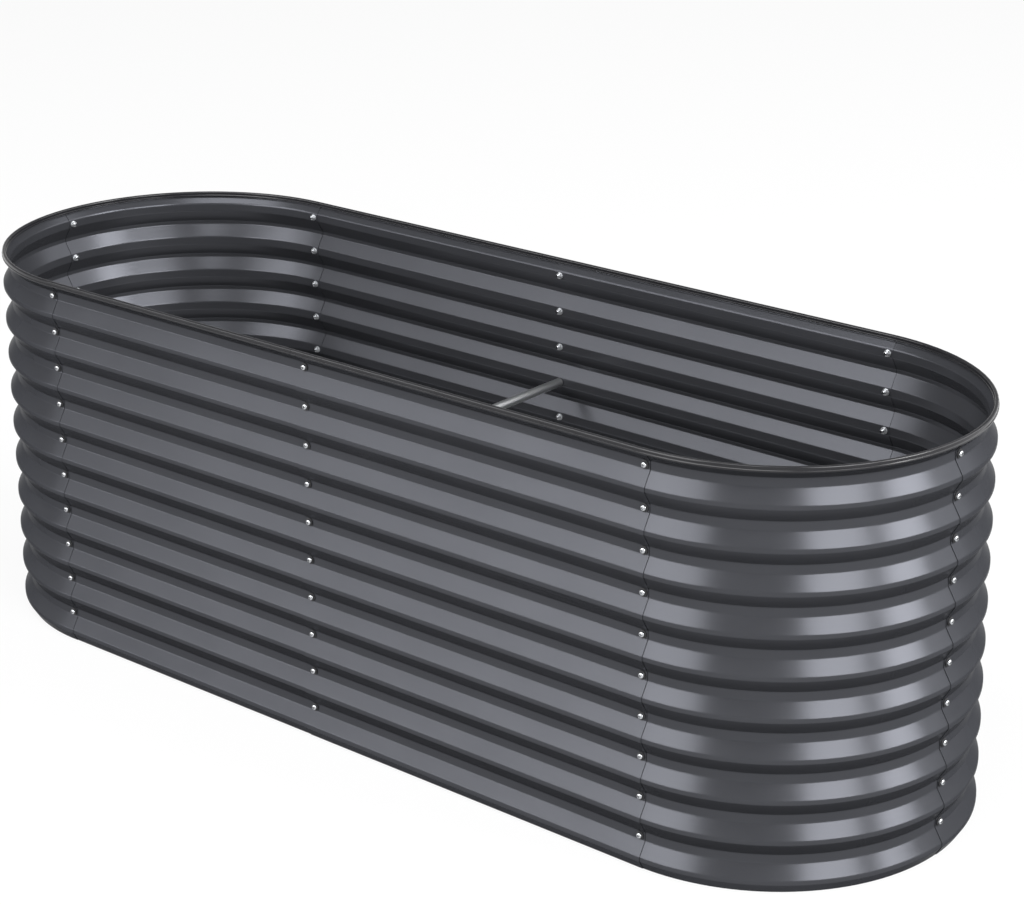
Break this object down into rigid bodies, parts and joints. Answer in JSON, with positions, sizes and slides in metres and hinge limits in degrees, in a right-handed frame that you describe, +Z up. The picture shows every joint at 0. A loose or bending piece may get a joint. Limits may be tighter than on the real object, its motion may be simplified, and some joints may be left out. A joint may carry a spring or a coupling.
{
  "type": "raised garden bed",
  "caption": "Oval raised garden bed of corrugated coated steel panels, lapped and bolted, open at the top and the ground, with a rubber edge trim.",
  "frame": {"origin": "on the ground, in the middle of the bed", "axes": "+X along the bed, towards the end whose seams are in the picture's foreground right; -Y out of the front; +Z up"},
  "size_m": [1.769, 0.609, 0.6135],
  "materials": {
    "coated_sheet": "anthracite coating, satin",
    "trim_rubber": "black, slightly shiny",
    "bright_zinc": "bright zinc plating",
    "seal_rubber": "black, matte",
    "plain_zinc": "dull zinc plating",
    "brace_tube": "plain drawn tube"
  },
  "bodies": {
    "root": {"front_left_panel": "coated_sheet", "front_right_panel": "coated_sheet", "right_front_end_panel": "coated_sheet", "right_rear_end_panel": "coated_sheet", "rear_right_panel": "coated_sheet", "rear_left_panel": "coated_sheet", "left_rear_end_panel": "coated_sheet", "left_front_end_panel": "coated_sheet", "edge_trim": "trim_rubber", "bolts_front_left": "bright_zinc", "sealing_washers_front_left": "seal_rubber", "flat_washers_front_left": "plain_zinc", "nuts_front_left": "plain_zinc", "bolts_front_middle": "bright_zinc", "sealing_washers_front_middle": "seal_rubber", "flat_washers_front_middle": "plain_zinc", "nuts_front_middle": "plain_zinc", "bolts_front_right": "bright_zinc", "sealing_washers_front_right": "seal_rubber", "flat_washers_front_right": "plain_zinc", "nuts_front_right": "plain_zinc", "bolts_right_end": "bright_zinc", "sealing_washers_right_end": "seal_rubber", "flat_washers_right_end": "plain_zinc", "nuts_right_end": "plain_zinc", "bolts_rear_right": "bright_zinc", "sealing_washers_rear_right": "seal_rubber", "flat_washers_rear_right": "plain_zinc", "nuts_rear_right": "plain_zinc", "bolts_rear_middle": "bright_zinc", "sealing_washers_rear_middle": "seal_rubber", "flat_washers_rear_middle": "plain_zinc", "nuts_rear_middle": "plain_zinc", "bolts_rear_left": "bright_zinc", "sealing_washers_rear_left": "seal_rubber", "flat_washers_rear_left": "plain_zinc", "nuts_rear_left": "plain_zinc", "bolts_left_end": "bright_zinc", "sealing_washers_left_end": "seal_rubber", "flat_washers_left_end": "plain_zinc", "nuts_left_end": "plain_zinc", "upper_cross_brace": "brace_tube", "upper_brace_front_plug": "plain_zinc", "upper_brace_rear_plug": "plain_zinc", "lower_cross_brace": "brace_tube", "lower_brace_front_plug": "plain_zinc", "lower_brace_rear_plug": "plain_zinc"}
  },
  "joints": []
}
